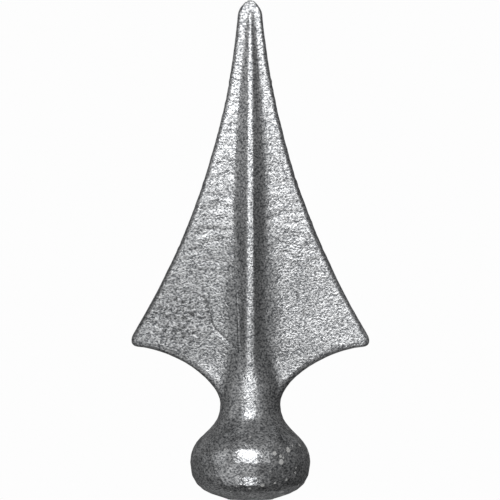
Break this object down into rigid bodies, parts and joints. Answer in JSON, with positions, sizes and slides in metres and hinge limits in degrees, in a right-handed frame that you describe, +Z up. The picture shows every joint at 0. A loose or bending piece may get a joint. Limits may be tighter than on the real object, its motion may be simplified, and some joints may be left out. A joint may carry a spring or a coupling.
{
  "type": "spear point finial",
  "caption": "Cast iron spear point for the top of a fence or gate bar: a ribbed blade with barbs on a round neck and a flattened ball with a weld seat.",
  "frame": {"origin": "centre of the flat weld seat under the ball", "axes": "+Z up the point's axis towards the tip, +X across the blade towards a barb, +Y through the blade's thickness"},
  "size_m": [0.0572, 0.0288, 0.12],
  "materials": {
    "raw_cast_iron": "bare sand-cast skin, tumbled clean: neutral grey metal with a fine dark grain, small pits and soft gloss"
  },
  "bodies": {
    "root": {"spear_point": "raw_cast_iron"}
  },
  "joints": []
}
